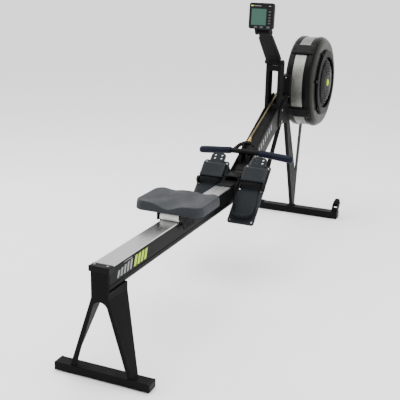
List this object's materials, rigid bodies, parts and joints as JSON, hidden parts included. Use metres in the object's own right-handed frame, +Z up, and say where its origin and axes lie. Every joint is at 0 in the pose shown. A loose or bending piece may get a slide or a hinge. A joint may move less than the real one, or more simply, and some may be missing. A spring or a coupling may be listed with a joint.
{
  "type": "rowing machine",
  "caption": "Indoor rowing machine with a sliding seat on a long rail, inclined frame, air-braked flywheel drum, handle on a chain, strapped footrests and a tilting monitor",
  "frame": {"origin": "on the floor, under the middle of the overall box", "axes": "+X forward from the rower to the flywheel, +Y to the rower's left, +Z up"},
  "size_m": [2.438, 0.59, 1.259],
  "materials": {
    "arm_pivot": "satin black",
    "axle_bearings": "ground",
    "band_straps": "satin black",
    "caster_brackets": "black",
    "caster_wheel": "matt",
    "chain_sprocket": "machined",
    "chain_swivel": "machined",
    "channel_liner": "satin black",
    "damper_ring": "satin black",
    "drive_chain": "nickel plated",
    "flywheel_axle": "ground",
    "flywheel_band": "perforated brushed steel",
    "flywheel_fan": "moulded",
    "flywheel_head": "black powder coat",
    "flywheel_shell": "semi-gloss black",
    "foot_end_caps": "moulded",
    "foot_pads": "matt",
    "foot_straps": "woven webbing",
    "footboard": "slate",
    "frame_bolts": "zinc plated",
    "foot_bar": "black powder coat",
    "front_leg_left": "black powder coat",
    "front_leg_right": "black powder coat",
    "front_rail_cover": "satin black",
    "handle_core": "satin black",
    "handle_grips": "navy grip",
    "heel_cup": "slate",
    "hub_cap": "lime",
    "intake_grille": "satin black",
    "main_frame": "dark grey paint",
    "button": "keypad",
    "monitor_arm": "black",
    "monitor_case": "satin black",
    "monitor_post": "black powder coat",
    "monitor_screen": "grey-green display",
    "monorail_beam": "dark anodised",
    "panel_screws": "bright",
    "rail_end_cap": "satin black",
    "rear_leg": "black powder coat",
    "seat_carriage": "black",
    "seat_pad": "textured",
    "roller": "white",
    "seat_track": "brushed stainless",
    "strap_buckles": "satin black"
  },
  "bodies": {
    "base": {"arm_pivot": "arm_pivot", "axle_bearings": "axle_bearings", "band_straps": "band_straps", "caster_brackets": "caster_brackets", "channel_liner": "channel_liner", "flywheel_band": "flywheel_band", "flywheel_head": "flywheel_head", "flywheel_shell_left": "flywheel_shell", "flywheel_shell_right": "flywheel_shell", "foot_end_caps": "foot_end_caps", "foot_pads": "foot_pads", "foot_straps": "foot_straps", "footboard_left": "footboard", "footboard_right": "footboard", "frame_bolts": "frame_bolts", "front_foot_bar": "foot_bar", "front_leg_left": "front_leg_left", "front_leg_right": "front_leg_right", "front_rail_cover": "front_rail_cover", "hub_cap": "hub_cap", "intake_grille": "intake_grille", "main_frame": "main_frame", "monitor_post": "monitor_post", "monorail_beam": "monorail_beam", "panel_screws": "panel_screws", "rail_end_cap": "rail_end_cap", "rear_foot_bar": "foot_bar", "rear_leg": "rear_leg", "seat_track": "seat_track", "strap_buckles": "strap_buckles"},
    "seat": {"seat_pad": "seat_pad", "seat_carriage": "seat_carriage"},
    "roller_front": {"seat_roller_front": "roller"},
    "roller_rear": {"seat_roller_rear": "roller"},
    "side_roller_l": {"side_roller_left": "roller"},
    "side_roller_r": {"side_roller_right": "roller"},
    "handle": {"handle_core": "handle_core", "handle_grips": "handle_grips", "chain_swivel": "chain_swivel", "drive_chain": "drive_chain"},
    "arm": {"monitor_arm": "monitor_arm"},
    "monitor": {"monitor_front_case": "monitor_case", "monitor_back_case": "monitor_case", "monitor_screen": "monitor_screen"},
    "flywheel": {"flywheel_fan": "flywheel_fan", "flywheel_axle": "flywheel_axle", "chain_sprocket": "chain_sprocket"},
    "damper": {"damper_ring": "damper_ring"},
    "heel_l": {"heel_cup_left": "heel_cup"},
    "heel_r": {"heel_cup_right": "heel_cup"},
    "caster_l": {"caster_wheel_left": "caster_wheel"},
    "caster_r": {"caster_wheel_right": "caster_wheel"},
    "side_key_1": {"side_button_1": "button"},
    "side_key_2": {"side_button_2": "button"},
    "side_key_3": {"side_button_3": "button"},
    "side_key_4": {"side_button_4": "button"},
    "side_key_5": {"side_button_5": "button"},
    "menu_key_1": {"menu_button_1": "button"},
    "menu_key_2": {"menu_button_2": "button"},
    "menu_key_3": {"menu_button_3": "button"}
  },
  "joints": [
    {"name": "seat_travel", "type": "slide", "parent": "base", "child": "seat", "axis": [1, 0, 0], "range_m": [-0.49, 0.395]},
    {"name": "roller_front_spin", "type": "hinge", "parent": "seat", "child": "roller_front", "pos_m": [-0.511, 0, 0.4573], "axis": [0, 1, 0], "range_deg": [-1800, 1450]},
    {"name": "roller_rear_spin", "type": "hinge", "parent": "seat", "child": "roller_rear", "pos_m": [-0.655, 0, 0.4573], "axis": [0, 1, 0], "range_deg": [-1800, 1450]},
    {"name": "side_roller_l_spin", "type": "hinge", "parent": "seat", "child": "side_roller_l", "pos_m": [-0.583, 0.0414, 0.41], "axis": [0, 0, 1], "range_deg": [-3700, 4500]},
    {"name": "side_roller_r_spin", "type": "hinge", "parent": "seat", "child": "side_roller_r", "pos_m": [-0.583, -0.0414, 0.41], "axis": [0, 0, 1], "range_deg": [-4500, 3700]},
    {"name": "handle_pull", "type": "slide", "parent": "base", "child": "handle", "axis": [-0.9511, 0, 0.309], "range_m": [0, 1], "stiffness_N_per_m": 10, "springref_m": -0.6, "deforming": ["drive_chain"]},
    {"name": "arm_swing", "type": "hinge", "parent": "base", "child": "arm", "pos_m": [0.585, 0, 0.948], "axis": [0, 1, 0], "range_deg": [-10, 45]},
    {"name": "monitor_tilt", "type": "hinge", "parent": "arm", "child": "monitor", "pos_m": [0.39289, 0, 1.11796], "axis": [0, 1, 0], "range_deg": [-25, 25]},
    {"name": "side_key_1_press", "type": "slide", "parent": "monitor", "child": "side_key_1", "axis": [0.9976, 0, -0.0698], "range_m": [0, 0.0015], "stiffness_N_per_m": 300, "springref_m": -0.001},
    {"name": "side_key_2_press", "type": "slide", "parent": "monitor", "child": "side_key_2", "axis": [0.9976, 0, -0.0698], "range_m": [0, 0.0015], "stiffness_N_per_m": 300, "springref_m": -0.001},
    {"name": "side_key_3_press", "type": "slide", "parent": "monitor", "child": "side_key_3", "axis": [0.9976, 0, -0.0698], "range_m": [0, 0.0015], "stiffness_N_per_m": 300, "springref_m": -0.001},
    {"name": "side_key_4_press", "type": "slide", "parent": "monitor", "child": "side_key_4", "axis": [0.9976, 0, -0.0698], "range_m": [0, 0.0015], "stiffness_N_per_m": 300, "springref_m": -0.001},
    {"name": "side_key_5_press", "type": "slide", "parent": "monitor", "child": "side_key_5", "axis": [0.9976, 0, -0.0698], "range_m": [0, 0.0015], "stiffness_N_per_m": 300, "springref_m": -0.001},
    {"name": "menu_key_1_press", "type": "slide", "parent": "monitor", "child": "menu_key_1", "axis": [0.9976, 0, -0.0698], "range_m": [0, 0.0015], "stiffness_N_per_m": 300, "springref_m": -0.001},
    {"name": "menu_key_2_press", "type": "slide", "parent": "monitor", "child": "menu_key_2", "axis": [0.9976, 0, -0.0698], "range_m": [0, 0.0015], "stiffness_N_per_m": 300, "springref_m": -0.001},
    {"name": "menu_key_3_press", "type": "slide", "parent": "monitor", "child": "menu_key_3", "axis": [0.9976, 0, -0.0698], "range_m": [0, 0.0015], "stiffness_N_per_m": 300, "springref_m": -0.001},
    {"name": "flywheel_spin", "type": "hinge", "parent": "base", "child": "flywheel", "pos_m": [0.969, 0, 0.807], "axis": [0, 1, 0], "continuous": true},
    {"name": "damper_turn", "type": "hinge", "parent": "base", "child": "damper", "pos_m": [0.969, 0, 0.807], "axis": [0, 1, 0], "range_deg": [-30, 40]},
    {"name": "heel_l_adjust", "type": "slide", "parent": "base", "child": "heel_l", "axis": [0.723, 0, 0.6909], "range_m": [-0.03, 0.01]},
    {"name": "heel_r_adjust", "type": "slide", "parent": "base", "child": "heel_r", "axis": [0.723, 0, 0.6909], "range_m": [-0.03, 0.01]},
    {"name": "caster_l_spin", "type": "hinge", "parent": "base", "child": "caster_l", "pos_m": [1.065, 0.274, 0.082], "axis": [0, 1, 0], "continuous": true},
    {"name": "caster_r_spin", "type": "hinge", "parent": "base", "child": "caster_r", "pos_m": [1.065, -0.274, 0.082], "axis": [0, 1, 0], "continuous": true}
  ],
  "couplings": [
    {"joint": "roller_front_spin", "follows": "seat_travel", "rad_per_m": 62.5},
    {"joint": "roller_rear_spin", "follows": "seat_travel", "rad_per_m": 62.5},
    {"joint": "side_roller_l_spin", "follows": "seat_travel", "rad_per_m": -156.25},
    {"joint": "side_roller_r_spin", "follows": "seat_travel", "rad_per_m": 156.25}
  ]
}
